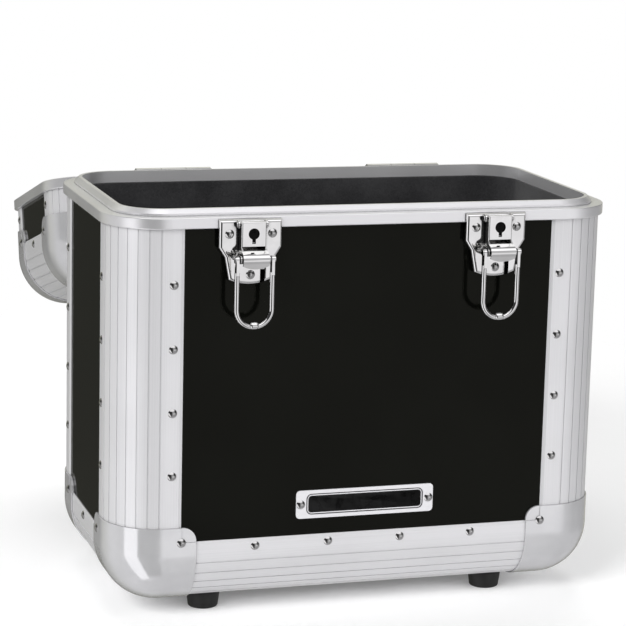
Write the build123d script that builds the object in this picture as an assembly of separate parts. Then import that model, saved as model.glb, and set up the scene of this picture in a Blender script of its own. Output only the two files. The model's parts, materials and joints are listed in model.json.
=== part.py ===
from build123d import *
from math import acos, atan2, cos, degrees, hypot, radians, sin
import os

# Record carrying case with a hinged lid, shown open: the lid lies upside down behind the
# body and leans on its rear wall. Millimetres. +Z is up, the front with the latches faces
# -Y, and the origin is the centre of the body's underside, above the rubber feet.

# Overall sizes
case_width = 376.0
case_depth = 206.0
body_height = 278.0          # underside to the lower edge of the body's rim band
lid_height = 80.0            # lid's outer face to its rim band
edge_radius = 40.0           # outer radius of every long edge and ball corner

# Edge extrusions: two skins that grip the panels, grooved round the bend
leg = 50.0                   # reach of an extrusion over each face
skin = 1.2
stop_at = 36.0               # from the corner plane to the web that stops a panel
groove_count = 7
groove_step = 12.0           # degrees round the bend
groove_width = 1.0
groove_depth = 0.5
bevel_width = 2.4            # bevelled edge of each outer flange
bevel_depth = 0.8

# Panels and lining
body_panel = 7.0
lid_panel = 4.0
lining = 2.5
floor_pad_top = 32.0
lid_pad_top = 15.0
fit = 0.1                    # clearance between pieces of one body

# Rim frames, measured inward from the extrusions' outer plane and up from the band's edge
band_height = 8.0
band_proud = 3.0
band_round = 0.8
body_web = 2.7
lid_web = 2.0
rim_lip = 1.5
rim_lip_drop = 4.0
tongue_start = 5.5
tongue_height = 4.8
tongue_bevel = 3.0
groove_outer_gap = 0.4
groove_inner_gap = 0.9
groove_top_gap = 0.6
groove_wall = 1.3
parting_gap = 0.4            # between the two rims when the lid is shut

# Ball corners
cap_skin = 1.0
cap_reach = 61.0
cap_ear = 10.0               # rounding of the ear at each cap rivet
cap_step = 0.5               # how far an ear is pressed down beyond the flanges

# Rivets
rivet_head = 6.6
rivet_rise = 1.5
rivet_shank = 3.2
hole_play = 0.05             # radial, round every fixed shank and pin
running_gap = 0.06           # radial, round every pivot that turns
column_inset = 7.4           # upright row of rivets, in from the flange's edge
row_inset = 5.6              # level row of rivets, in from the flange's edge
body_rivet_rows = 4
body_rivet_top = 40.0        # rim band to the first rivet
body_rivet_low = 49.4        # last rivet to the base flange's edge
lid_rivet_top = 10.0
long_edge_rivets = 4
short_edge_rivets = 1

# Feet
foot_side_inset = 77.0       # in from the left and right faces
foot_inset = 40.0            # in from the front and rear faces
foot_radius = 12.5
foot_taper = 1.5
foot_height = 11.0
foot_round = 1.2
foot_crown = 3.0             # most that a foot rises to follow the bend
foot_recess = 5.0
foot_recess_depth = 6.0
screw_radius = 2.0
screw_head = 4.0
screw_head_height = 3.0

# Name plate
plate_width = 105.0
plate_height = 21.0
plate_up = 72.8              # its middle, above the underside
plate_sheet = 1.0
plate_corner = 3.0
plate_field_inset = 2.6
plate_field_margin = 4.2     # from each rivet's middle
plate_field_round = 4.0
plate_field_depth = 0.3
plate_rivets = 49.0          # from the plate's middle

# Hinges
hinge_offset = 7.8           # pin's axis behind the extrusions' outer plane
hinge_side_inset = 93.0      # hinge's middle, in from the left or right face
hinge_width = 60.0
hinge_knuckle = 3.7
hinge_pin = 1.6
hinge_pin_head = 2.6
hinge_pin_head_height = 1.0
hinge_leaf = 1.5
hinge_drop = 36.5            # pin's axis to the leaf's free edge
hinge_joggle = 5.0
hinge_gap = 0.3
hinge_rivets = 19.0          # pitch along the leaf
hinge_rivet_up = 8.0         # in from the leaf's free edge
stop_gap = 0.3               # between the open lid and the wall it leans on

# Latches, each measured from the rim band's lower edge on the front's outer plane
latch_side_inset = 96.0      # latch's middle, in from the left or right face
latch_face = 6.2             # latch plate's front
latch_sheet = 1.2
latch_round = 2.4            # bend round the plate's front
latch_top = 6.5
latch_half = 23.0
latch_half_waist = 18.6
latch_half_foot = 15.6
latch_shoulder = 13.5
latch_waist = 20.5
latch_hip = 36.5
latch_foot = 40.0
latch_rivet_across = 15.6
latch_rivet_drop = 3.5
latch_low_rivet_drop = 32.8
latch_slot = (7.0, 10.4, 38.5, 29.0)   # left, right, and depths of its ends
pivot_out = 8.6              # lever's pin
pivot_up = 3.6
pivot_radius = 1.5
pivot_ear = 3.0
pivot_head = 2.2
pivot_head_height = 0.8
lever_gap = 0.4
lever_face = 14.2
lever_half = 9.0
lever_round = 1.0
lever_top = 6.2
lever_back = 6.6
lever_wall_top = 4.6
lever_low = 15.0
lever_slot_top = 11.4
lever_slot_height = 2.3
lever_slot_half = 8.2
lip_half = 9.4
lip_reach = 22.2
lip_edge = 17.2
lip_turn = 21.5
lip_low = 26.6
lip_end = 19.0
lip_round = 4.2
lip_sag = 2.4
lever_swing = 90.0
key_drop = 2.5
key_radius = 4.0
key_slot = 2.6
key_slot_drop = 9.5
core_radius = 6.0
core_depth = 1.4
core_collar = 1.0
core_gap = 0.15
core_cam = 6.5
core_cam_half = 1.6
core_cam_depth = 1.0
core_shaft = 2.0
loop_out = 17.5              # wire loop's pivot
loop_drop = 20.0
loop_wire = 1.85
loop_half = 12.8
loop_length = 48.1           # pivot to the wire's centre at the far end
loop_tang = 11.0
loop_tang_half = 2.6
loop_tang_sheet = 2.0
loop_stub = 1.6
loop_boss = 3.0
loop_boss_end = 10.8
loop_head = 2.4
loop_head_height = 0.8
loop_seat = 2.9
loop_seat_half = 3.3
loop_seat_round = 2.0
loop_seat_shift = 1.0
loop_lean = 7.0              # degrees off upright when hooked on the catch

# Catches on the lid's front, in the latch's measures with the lid shut
catch_half = 11.0
catch_low = 17.5
catch_high = 37.0
catch_sheet = 1.2
catch_hook = 1.6
catch_hook_half = 4.5
catch_hook_rise = 3.4
catch_seat_gap = 0.25
catch_rivet_across = 7.4
catch_rivet_up = 31.5

# Carry handle on the lid's outer face
lug_across = 62.0            # inner face of each lug, from the middle
lug_width = 6.0
lug_radius = 7.0
bracket_half_width = 12.0
bracket_half_length = 16.0
bracket_sheet = 1.8
bracket_rivets = 11.0
handle_pivot = 11.0          # above the lid's outer face
handle_reach = 38.0
handle_arm = 55.0
handle_bend = 7.0
handle_rod = 3.0
grip_length = 92.0
grip_width = 20.0
grip_height = 24.0
grip_round = 8.5

half_width = case_width / 2
half_depth = case_depth / 2
foot_across = half_width - foot_side_inset
hinge_across = half_width - hinge_side_inset
latch_across = half_width - latch_side_inset
panel_face = skin + fit
panel_edge = stop_at + skin + fit
tongue_top = band_height + tongue_height
axis_up = band_height + parting_gap / 2
body_axis = body_height + axis_up
lid_axis = lid_height + axis_up


def inner_skin(panel):
    """Where an extrusion's inner skin starts, behind a panel."""
    return panel_face + panel + fit


def grip_depth(panel):
    """Where the inner skin ends, which is how deep a rivet goes."""
    return inner_skin(panel) + skin


def lining_face(panel):
    return grip_depth(panel) + fit


tongue_end = lining_face(body_panel) + rim_lip


# ---------------------------------------------------------------- general shapes

def block(x0, x1, y0, y1, z0, z1):
    """Box between two corners."""
    centre = Pos((x0 + x1) / 2, (y0 + y1) / 2, (z0 + z1) / 2)
    return centre * Box(x1 - x0, y1 - y0, z1 - z0)


def bar(radius, start, end):
    """Round bar between two points."""
    line = Vector(*end) - Vector(*start)
    return extrude(Plane(origin=start, z_dir=line) * Circle(radius), line.length)


def cross_bar(radius, x0, x1, y, z):
    return bar(radius, (x0, y, z), (x1, y, z))


def front_plane(y):
    """Upright plane at y: x stays x, the drawing's y is z, and an extrusion goes to -Y."""
    return Plane(origin=(0, y, 0), x_dir=(1, 0, 0), z_dir=(0, -1, 0))


def side_plane(x):
    """Upright plane at x: the drawing's x is y and its y is z."""
    return Plane(origin=(x, 0, 0), x_dir=(0, 1, 0), z_dir=(1, 0, 0))


def section_bar(points, x0, x1):
    """Bar along X whose section is drawn as (y, z) points."""
    return extrude(side_plane(x0) * Polygon(*points, align=None), x1 - x0)


def outline(inset):
    """The case's rounded plan, inset from the extrusions' outer planes."""
    width, depth = case_width - 2 * inset, case_depth - 2 * inset
    return RectangleRounded(width, depth, edge_radius - inset)


def ring(outer, inner, low, high):
    """Band round the case between two insets and two heights."""
    return Pos(0, 0, low) * extrude(outline(outer) - outline(inner), high - low)


def tub_space(inset, top):
    """The inside of a tub: upright and bottom edges rounded alike, flat top."""
    x, y = half_width - inset, half_depth - inset
    solid = block(-x, x, -y, y, inset, top)
    edges = solid.edges().filter_by(Axis.Z) + solid.faces().sort_by(Axis.Z)[0].edges()
    return fillet(edges, edge_radius - inset)


def at_corners(make):
    """One piece at each bottom corner of a tub, made for the corner at its own origin."""
    places = {
        "front_left": Pos(-half_width, -half_depth, 0),
        "front_right": Pos(half_width, -half_depth, 0) * Rot(0, 0, 90),
        "rear_right": Pos(half_width, half_depth, 0) * Rot(0, 0, 180),
        "rear_left": Pos(-half_width, half_depth, 0) * Rot(0, 0, 270),
    }
    return {name: place * make() for name, place in places.items()}


def spread(count, span):
    """Even places between two ends, the ends left out."""
    return [span * ((i + 1) / (count + 1) - 0.5) for i in range(count)]


# ---------------------------------------------------------------- rivets and their holes
# A rivet is kept as its head's seat, the way its head faces, and its shank's depth.

def rivet(seat, way, depth):
    """Domed rivet with its shank."""
    dome_radius = (rivet_head**2 / 4 + rivet_rise**2) / (2 * rivet_rise)
    dome = Pos(0, 0, rivet_rise - dome_radius) * Sphere(dome_radius)
    head = dome & block(-rivet_head, rivet_head, -rivet_head, rivet_head, 0, rivet_head)
    shank = bar(rivet_shank / 2, (0, 0, -depth), (0, 0, rivet_rise / 2))
    return Plane(origin=seat, z_dir=way).location * (head + shank)


def reaches(solid, seat, way, depth):
    """Whether a shank passes through the box round a solid."""
    box = solid.bounding_box()
    for step in range(9):
        spot = Vector(*seat) - Vector(*way) * (depth * step / 8)
        if all(a - rivet_shank < b < c + rivet_shank for a, b, c in zip(box.min, spot, box.max)):
            return True
    return False


def drill(solid, fasteners, radius=rivet_shank / 2 + hole_play):
    """The solid with a hole for each fastener that passes through it."""
    for seat, way, depth in fasteners:
        if reaches(solid, seat, way, depth):
            out = Vector(*seat) + Vector(*way)
            solid = solid - bar(radius, out, Vector(*seat) - Vector(*way) * (depth + 1))
    return solid


def wall_rivets(heights, panel):
    """Upright rows of rivets beside each corner, at the given heights."""
    depth = grip_depth(panel)
    across = leg - column_inset
    found = []
    for z in heights:
        for side in (-1, 1):
            x, y = side * (half_width - across), side * (half_depth - across)
            found += [((x, way * half_depth, z), (0, way, 0), depth) for way in (-1, 1)]
            found += [((way * half_width, y, z), (way, 0, 0), depth) for way in (-1, 1)]
    return found


def edge_rivets(panel):
    """Level rows of rivets on both faces of the bottom edges."""
    depth = grip_depth(panel)
    across = leg - row_inset
    found = []
    for way in (-1, 1):
        for x in spread(long_edge_rivets, case_width - 2 * leg):
            found.append(((x, way * half_depth, across), (0, way, 0), depth))
            found.append(((x, way * (half_depth - across), 0), (0, 0, -1), depth))
        for y in spread(short_edge_rivets, case_depth - 2 * leg):
            found.append(((way * half_width, y, across), (way, 0, 0), depth))
            found.append(((way * (half_width - across), y, 0), (0, 0, -1), depth))
    return found


def cap_rivets(panel):
    """Three rivets in the ears of each ball corner."""
    proud = fit + cap_skin
    depth = grip_depth(panel) + proud
    found = []
    for sx in (-1, 1):
        for sy in (-1, 1):
            x, y = sx * (half_width - leg), sy * (half_depth - leg)
            found.append(((x, sy * (half_depth + proud), leg), (0, sy, 0), depth))
            found.append(((sx * (half_width + proud), y, leg), (sx, 0, 0), depth))
            found.append(((x, y, -proud), (0, 0, -1), depth))
    return found


# ---------------------------------------------------------------- tub pieces, body and lid

def angle_face(inset):
    """Square over an extrusion's reach with its outer corner rounded."""
    side = leg - inset
    square = Pos(inset + side / 2, inset + side / 2) * Rectangle(side, side)
    corner = min(square.vertices(), key=lambda v: v.X + v.Y)
    return fillet(corner, edge_radius - inset)


def groove_marks():
    """Small rectangles where the grooves run, square to the rounded corner."""
    marks = []
    for i in range(groove_count):
        turn = 45 + (i - (groove_count - 1) / 2) * groove_step
        x = edge_radius * (1 - cos(radians(turn)))
        y = edge_radius * (1 - sin(radians(turn)))
        marks.append(Pos(x, y) * Rot(0, 0, turn) * Rectangle(2 * groove_depth, groove_width))
    return marks


def extrusion_section(panel):
    """Section with the case's corner at the origin and both legs on the positive axes."""
    start, end = inner_skin(panel), grip_depth(panel)
    section = angle_face(0) - angle_face(skin)
    section += angle_face(start) - angle_face(end)
    web = Pos(stop_at + skin / 2, (skin + start) / 2) * Rectangle(skin, start)
    bevel = Polygon((leg - bevel_width, 0), (leg, 0), (leg, bevel_depth), align=None)
    section += web
    section += mirror(web, Plane.XZ.rotated((0, 0, 45)))
    section -= bevel
    section -= mirror(bevel, Plane.XZ.rotated((0, 0, 45)))
    return section - groove_marks()


def corner_extrusions(height, panel):
    """Upright extrusions, from the ball corners up to the rim band."""
    section = extrusion_section(panel)
    top = height - fit
    return at_corners(lambda: Pos(0, 0, edge_radius) * extrude(section, top - edge_radius))


def bottom_extrusions(panel):
    """Extrusions along the four bottom edges."""
    section = extrusion_section(panel)
    long_run, short_run = case_width - 2 * leg, case_depth - 2 * leg
    long_plane = Plane(origin=(-long_run / 2, -half_depth, 0), x_dir=(0, 1, 0), z_dir=(1, 0, 0))
    short_plane = Plane(origin=(-half_width, short_run / 2, 0), x_dir=(1, 0, 0), z_dir=(0, -1, 0))
    front = extrude(long_plane * section, long_run)
    left = extrude(short_plane * section, short_run)
    half_turn = Rot(0, 0, 180)
    return {"front": front, "rear": half_turn * front, "left": left, "right": half_turn * left}


def octant(inset, reach):
    """Cube from the case's corner with the three edges that meet there rounded."""
    cube = block(inset, reach, inset, reach, inset, reach)
    corner = min(cube.vertices(), key=lambda v: v.X + v.Y + v.Z)
    edges = [e for e in cube.edges() if corner.center() in [v.center() for v in e.vertices()]]
    return fillet(edges, edge_radius - inset)


def ball_corner():
    """Pressed cap over a bottom corner, with a rounded ear on each of its three faces."""
    reach = block(-leg, cap_reach, -leg, cap_reach, -leg, cap_reach)
    corner = max(reach.vertices(), key=lambda v: v.X + v.Y + v.Z)
    edges = [e for e in reach.edges() if corner.center() in [v.center() for v in e.vertices()]]
    region = fillet(edges, cap_ear)
    cap = (octant(-fit - cap_skin, cap_reach) & region) - octant(-fit, 2 * cap_reach)
    near, far, face = leg + fit, cap_reach, -fit - cap_skin
    for turn in (0, 120, 240):
        place = Location((0, 0, 0), (1, 1, 1), turn)
        tab = block(near, far, near, far, face + cap_step, panel_face - fit)
        cap -= place * block(near, far, near, far, face - 1, face + cap_step)
        cap += (place * tab) & region
    return cap


def panels(panel, top):
    """Four wall panels and the one across the bottom, held in the extrusions' slots."""
    back = panel_face + panel
    x_end, y_end = half_width - panel_edge, half_depth - panel_edge
    front = block(-x_end, x_end, panel_face - half_depth, back - half_depth, panel_edge, top)
    left = block(panel_face - half_width, back - half_width, -y_end, y_end, panel_edge, top)
    half_turn = Rot(0, 0, 180)
    return {
        "front": front,
        "rear": half_turn * front,
        "left": left,
        "right": half_turn * left,
        "bottom": block(-x_end, x_end, -y_end, y_end, panel_face, back),
    }


def lining_tub(panel, top):
    face = lining_face(panel)
    return tub_space(face, top) - tub_space(face + lining, top + lining)


def pad(panel, top):
    """Foam across the bottom of a lined tub."""
    space = tub_space(lining_face(panel) + lining + 2 * fit, lid_height)
    return space & block(-case_width, case_width, -case_depth, case_depth, 0, top)


def rim_slab(inner):
    """The rim's band as one solid ring, its outer long edges rounded."""
    slab = ring(-band_proud, inner, 0, band_height)
    faces = slab.faces().sort_by(Axis.Z)
    edges = faces[0].outer_wire().edges() + faces[-1].outer_wire().edges()
    return fillet(edges, band_round)


def body_rim():
    """Channel over the panels' edges, with the bevelled tongue that centres the lid."""
    low = -band_height
    slab = rim_slab(tongue_end)
    slab -= ring(skin, lining_face(body_panel), low, band_height - body_web)
    slab -= ring(lining_face(body_panel), tongue_end + 1, low, band_height - rim_lip_drop)
    tongue = ring(tongue_start, tongue_end, band_height, tongue_top)
    tongue = chamfer(tongue.faces().sort_by(Axis.Z)[-1].outer_wire().edges(), tongue_bevel)
    return Pos(0, 0, body_height) * (slab + tongue)


def lid_rim():
    """Channel over the lid panels' edges, with the groove that takes the tongue."""
    groove_low = band_height - tongue_height - groove_top_gap
    groove_end = tongue_end + groove_inner_gap
    slab = rim_slab(groove_end + groove_wall)
    slab -= ring(tongue_start - groove_outer_gap, groove_end, groove_low, 2 * band_height)
    slab -= ring(skin, groove_end + 2 * groove_wall, -band_height, groove_low - lid_web)
    return Pos(0, 0, lid_height) * slab


# ---------------------------------------------------------------- body fittings

def foot_screw_spots():
    """Seat, way and depth of the screw in each foot."""
    seat = foot_recess_depth - foot_height
    depth = grip_depth(body_panel) - seat
    x, y = foot_across, half_depth - foot_inset
    return [((sx * x, sy * y, seat), (0, 0, -1), depth) for sx in (-1, 1) for sy in (-1, 1)]


def rubber_foot(x, y):
    """Tapered foot whose top follows the bend, with a recess for its screw's head."""
    foot = Cone(foot_radius - foot_taper, foot_radius, foot_height)
    foot = fillet(foot.edges().sort_by(Axis.Z)[0], foot_round)
    foot = Pos(x, y, -foot_height / 2) * foot
    foot += bar(foot_radius, (x, y, 0), (x, y, foot_crown))
    foot -= tub_space(-fit, 2 * edge_radius)
    foot -= bar(foot_recess, (x, y, -2 * foot_height), (x, y, foot_recess_depth - foot_height))
    return foot - bar(screw_radius + hole_play, (x, y, -foot_height), (x, y, 1))


def foot_screw(seat, way, depth):
    x, y, z = seat
    head = bar(screw_head, (x, y, z - screw_head_height), (x, y, z))
    head = fillet(head.edges().sort_by(Axis.Z)[0], screw_head_height / 2)
    return head + bar(screw_radius, (x, y, z - fit), (x, y, z + depth))


def plate_rivet_spots():
    y = panel_face - half_depth - fit - plate_sheet
    depth = panel_face + body_panel - half_depth - y
    return [((side * plate_rivets, y, plate_up), (0, -1, 0), depth) for side in (-1, 1)]


def name_plate():
    """Bare riveted plate with a shallow sunk field."""
    back = panel_face - half_depth - fit
    shape = Pos(0, plate_up) * RectangleRounded(plate_width, plate_height, plate_corner)
    plate = extrude(front_plane(back) * shape, plate_sheet)
    field_width = 2 * (plate_rivets - plate_field_margin)
    field_height = plate_height - 2 * plate_field_inset
    field = RectangleRounded(field_width, field_height, plate_field_round)
    field_plane = front_plane(back - plate_sheet + plate_field_depth)
    plate -= extrude(field_plane * (Pos(0, plate_up) * field), plate_sheet)
    return drill(plate, plate_rivet_spots())


# ---------------------------------------------------------------- hinges
# A leaf is drawn with x along the pin, y out of the wall it is fixed to, measured from the
# extrusions' outer plane, and z up from the pin's axis.

def knuckle_spans(own):
    """Stretches of the pin's length held by the outer leaf (own) or by the middle one."""
    third, half = hinge_width / 6, hinge_width / 2
    if own:
        return [(-half, -third - hinge_gap / 2), (third + hinge_gap / 2, half)]
    return [(hinge_gap / 2 - third, third - hinge_gap / 2)]


def hinge_leaf_piece(outer, play):
    """Joggled leaf: over the rim band, then in to the panel; outer has two knuckles."""
    band, wall = band_proud + fit, fit - panel_face
    bend = -axis_up - 1.0
    inside = [(band, 0), (band, bend), (wall, bend - hinge_joggle), (wall, -hinge_drop)]
    outside = [
        (wall + hinge_leaf, -hinge_drop),
        (wall + hinge_leaf, bend - hinge_joggle + hinge_leaf / 2),
        (band + hinge_leaf, bend + hinge_leaf / 2),
        (band + hinge_leaf, 0),
    ]
    leaf = section_bar(inside + outside, -hinge_width / 2, hinge_width / 2)
    for start, end in knuckle_spans(not outer):
        room = (start - hinge_gap, end + hinge_gap)
        leaf -= cross_bar(hinge_knuckle + lever_gap, *room, hinge_offset, 0)
    for start, end in knuckle_spans(outer):
        leaf += cross_bar(hinge_knuckle, start, end, hinge_offset, 0)
    return leaf - cross_bar(hinge_pin + play, -hinge_width, hinge_width, hinge_offset, 0)


def hinge_rivet_spots(wall_sign, axis_height, panel):
    """Rivets of both leaves on the wall at wall_sign times the half depth."""
    face = half_depth - panel_face + fit + hinge_leaf
    depth = face - half_depth + panel_face + panel
    z = axis_height - hinge_drop + hinge_rivet_up
    found = []
    for side in (-1, 1):
        for step in (-1, 0, 1):
            x = side * hinge_across + step * hinge_rivets
            found.append(((x, wall_sign * face, z), (0, wall_sign, 0), depth))
    return found


def hinge_pin_piece(side):
    x, y, end = side * hinge_across, half_depth + hinge_offset, hinge_width / 2
    pin = cross_bar(hinge_pin, x - end - fit, x + end + fit, y, body_axis)
    for way in (-1, 1):
        near, far = end + fit, end + fit + hinge_pin_head_height
        pin += cross_bar(hinge_pin_head, *sorted((x + way * near, x + way * far)), y, body_axis)
    return pin


# ---------------------------------------------------------------- latches
# Drawn with x across the latch, -y out of the case and z up from the rim band's lower edge.

def latch_outline():
    """Front view of the latch plate: square shoulders, tapered waist, bowed foot."""
    points = [
        (-latch_half_foot, -latch_hip),
        (-latch_half_waist, -latch_waist),
        (-latch_half, -latch_shoulder),
        (-latch_half, latch_top),
        (latch_half, latch_top),
        (latch_half, -latch_shoulder),
        (latch_half_waist, -latch_waist),
        (latch_half_foot, -latch_hip),
    ]
    foot = ThreePointArc(points[-1], (0, -latch_foot), points[0])
    return make_face(Polyline(*points) + foot)


def latch_rivet_spots(x):
    """Seats in the latch's own frame moved to the latch at x."""
    depth = latch_face + panel_face + body_panel
    drops = [
        (-latch_rivet_across, latch_rivet_drop),
        (latch_rivet_across, latch_rivet_drop),
        (0, latch_low_rivet_drop),
    ]
    y = -half_depth - latch_face
    return [((x + dx, y, body_height - drop), (0, -1, 0), depth) for dx, drop in drops]


def latch_plate():
    """Pressed tray: its front stands off the case and its walls reach back to it."""
    shape = latch_outline()
    back = panel_face - fit
    tray = extrude(front_plane(back) * shape, back + latch_face)
    tray = fillet(tray.faces().sort_by(Axis.Y)[0].outer_wire().edges(), latch_round)
    hollow = offset(shape, -latch_sheet, kind=Kind.INTERSECTION)
    tray -= extrude(front_plane(back) * hollow, back + latch_face - latch_sheet)
    width = 2 * latch_half
    tray -= block(-width, width, -band_proud - fit, latch_half, -fit, latch_half)
    left, right, low, high = latch_slot
    tray -= block(left, right, -2 * latch_face, 0, -low, -high)
    ear_x = lever_half + lever_gap
    root = latch_face - latch_sheet / 2
    for side in (-1, 1):
        x0, x1 = sorted((side * ear_x, side * (ear_x + latch_sheet)))
        web = block(x0, x1, -pivot_out, -root, pivot_up - pivot_ear, pivot_up + pivot_ear)
        knob = cross_bar(pivot_ear, x0, x1, -pivot_out, pivot_up)
        tray += web & block(x0, x1, -pivot_out, 0, -latch_foot, latch_top - latch_round)
        tray += knob
    return tray - cross_bar(pivot_radius + hole_play, -latch_half, latch_half, -pivot_out, pivot_up)


def latch_pin():
    end = lever_half + lever_gap + latch_sheet + fit
    pin = cross_bar(pivot_radius, -end, end, -pivot_out, pivot_up)
    for x0, x1 in ((-end - pivot_head_height, -end), (end, end + pivot_head_height)):
        pin += cross_bar(pivot_head, x0, x1, -pivot_out, pivot_up)
    return pin


def lip_sheet():
    """Curled finger lip below the lever's slot, its free edge bowed down."""
    path = FilletPolyline(
        (-lever_face + latch_sheet / 2, -lever_low + latch_sheet),
        (-lip_reach, -lip_edge),
        (-lip_reach, -lip_turn),
        (-lip_end, -lip_low),
        radius=lip_round,
    )
    sheet = extrude(side_plane(-lip_half) * trace(path, latch_sheet), 2 * lip_half)
    side_low = lip_low - lip_sag
    bow = ThreePointArc((lip_half, -side_low), (0, -lip_low), (-lip_half, -side_low))
    rest = Polyline((-lip_half, -side_low), (-lip_half, 0), (lip_half, 0), (lip_half, -side_low))
    return sheet & extrude(front_plane(0) * make_face(bow + rest), 2 * lip_reach)


def keyhole():
    slot = Pos(0, -(key_drop + key_slot_drop) / 2) * Rectangle(key_slot, key_slot_drop - key_drop)
    return Pos(0, -key_drop) * Circle(key_radius) + slot


def latch_lever():
    """Box-shaped lever with its keyhole, finger lip and the loop's bosses."""
    front = lever_face - latch_sheet
    inner = lever_half - latch_sheet
    lever = block(-lever_half, lever_half, -lever_face, -front, -lever_low, lever_top)
    lever = fillet(lever.faces().sort_by(Axis.Y)[0].edges().sort_by(Axis.Z)[1:], lever_round)
    lever += lip_sheet()
    ear = Polygon(
        (-lever_back, -lever_slot_top),
        (-front, -lever_slot_top),
        (-loop_out - loop_boss, -loop_drop + loop_boss / 2),
        (-loop_out, -loop_drop - loop_boss),
        (-lever_back, -lever_low),
        align=None,
    )
    for side in (-1, 1):
        x0, x1 = sorted((side * inner, side * lever_half))
        wall = block(x0, x1, -front, -lever_back, -lever_low, lever_wall_top)
        lever += wall + extrude(side_plane(x0) * ear, latch_sheet)
        x0, x1 = sorted((side * inner, side * loop_boss_end))
        lever += cross_bar(loop_boss, x0, x1, -loop_out, -loop_drop)
    lever -= extrude(front_plane(-lever_back) * keyhole(), lever_face)
    slot_low = lever_slot_top + lever_slot_height
    half = lever_slot_half
    lever -= block(-half, half, -2 * lever_face, -front + fit, -slot_low, -lever_slot_top)
    collar = Circle(core_radius + running_gap + core_collar) - Circle(core_radius + running_gap)
    collar_plane = front_plane(-front + core_depth + core_gap)
    lever += extrude(collar_plane * (Pos(0, -key_drop) * collar), core_depth + core_gap)
    lever -= cross_bar(pivot_radius + running_gap, -latch_half, latch_half, -pivot_out, pivot_up)
    lever -= cross_bar(loop_stub + running_gap, -latch_half, latch_half, -loop_out, -loop_drop)
    return lever


def lock_core():
    """Turning core behind the keyhole: slotted disc, shaft and cam."""
    face = lever_face - latch_sheet - core_gap
    back = face - core_depth
    cam_back = back - core_cam_depth - core_gap
    disc = bar(core_radius, (0, -face, -key_drop), (0, -back, -key_drop))
    slot = block(-key_slot / 2, key_slot / 2, -face, -face + core_depth / 2, -key_drop, 0)
    shaft = bar(core_shaft, (0, -back, -key_drop), (0, -cam_back, -key_drop))
    half = core_cam_half
    cam = block(-half, half, -back + core_gap, -cam_back, -key_drop - core_cam, -key_drop)
    return disc - slot + shaft + cam


def latch_loop():
    """Wire loop hanging from the lever, with flattened tangs and a seat at its far end."""
    straight = loop_length - loop_half
    low, bend = -loop_drop - loop_length, -loop_drop - straight
    top = -loop_drop - loop_tang + loop_wire
    half = loop_half
    plane = front_plane(-loop_out)
    left, right = Line((-half, top), (-half, bend)), Line((half, bend), (half, top))
    path = left + ThreePointArc((-half, bend), (0, low), (half, bend)) + right
    start = Plane(origin=(-half, -loop_out, top), z_dir=(0, 0, -1))
    loop = sweep(start * Circle(loop_wire), path=plane * path)
    for side in (-1, 1):
        inside, outside = half - loop_tang_sheet / 2, half + loop_tang_sheet / 2
        x0, x1 = sorted((side * inside, side * outside))
        y0, y1 = -loop_out - loop_tang_half, -loop_out + loop_tang_half
        loop += block(x0, x1, y0, y1, -loop_drop - loop_tang, -loop_drop)
        loop += cross_bar(loop_tang_half, x0, x1, -loop_out, -loop_drop)
        stub_end = lever_half - latch_sheet + fit
        x0, x1 = sorted((side * stub_end, side * half))
        loop += cross_bar(loop_stub, x0, x1, -loop_out, -loop_drop)
        x0, x1 = sorted((side * outside, side * (outside + loop_head_height)))
        loop += cross_bar(loop_head, x0, x1, -loop_out, -loop_drop)
    seat = cross_bar(loop_seat, -loop_seat_half, loop_seat_half, -loop_out, low + loop_seat_shift)
    return loop + fillet(seat.edges().filter_by(GeomType.CIRCLE), loop_seat_round)


def latch_catch():
    """Plate on the lid's front with the upturned hook that the loop pulls down on."""
    reach = loop_length - loop_seat_shift
    seat_out = loop_out - reach * sin(radians(loop_lean))
    seat_up = reach * cos(radians(loop_lean)) - loop_drop
    shelf = seat_up - loop_seat - catch_seat_gap
    front = seat_out + loop_seat + catch_seat_gap
    face = panel_face - fit
    plate = block(-catch_half, catch_half, face - catch_sheet, face, catch_low, catch_high)
    plate = fillet(plate.edges().filter_by(Axis.Y), catch_sheet * 2)
    half = catch_hook_half
    root = block(-half, half, -front - catch_hook, face, shelf - catch_hook, shelf)
    tip = block(
        -half, half, -front - catch_hook, -front, shelf - catch_hook, shelf + catch_hook_rise
    )
    return plate + root + tip


def catch_place(x):
    """From the latch's measures with the lid shut to the lid's own frame."""
    return Pos(x, half_depth, lid_axis) * Rot(180, 0, 0) * Pos(0, 0, -axis_up)


def catch_rivet_spots():
    face = half_depth - panel_face + fit + catch_sheet
    depth = face - half_depth + panel_face + lid_panel
    z = lid_axis - (catch_rivet_up - axis_up)
    places = [sx * latch_across + dx for sx in (-1, 1) for dx in (-catch_rivet_across, catch_rivet_across)]
    return [((x, face, z), (0, 1, 0), depth) for x in places]


# ---------------------------------------------------------------- carry handle

def bracket_seat():
    return panel_face - fit - bracket_sheet


def bracket_rivet_spots():
    depth = bracket_sheet + fit + lid_panel
    x = lug_across + lug_width / 2
    places = [(sx * x, sy * bracket_rivets) for sx in (-1, 1) for sy in (-1, 1)]
    return [((x, y, bracket_seat()), (0, 0, -1), depth) for x, y in places]


def handle_bracket(side):
    """Riveted plate with a lug for the bail's end, on the lid's outer face."""
    seat = bracket_seat()
    x = side * (lug_across + lug_width / 2)
    w, h = bracket_half_width, bracket_half_length
    plate = block(x - w, x + w, -h, h, seat, seat + bracket_sheet)
    plate = fillet(plate.edges().filter_by(Axis.Z), lug_width / 2)
    x0, x1 = x - lug_width / 2, x + lug_width / 2
    lug = block(x0, x1, -lug_radius, lug_radius, -handle_pivot, seat + bracket_sheet / 2)
    lug += cross_bar(lug_radius, x0, x1, 0, -handle_pivot)
    bore = cross_bar(handle_rod + running_gap, x0 - 1, x1 + 1, 0, -handle_pivot)
    return drill(plate + lug - bore, bracket_rivet_spots())


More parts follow.
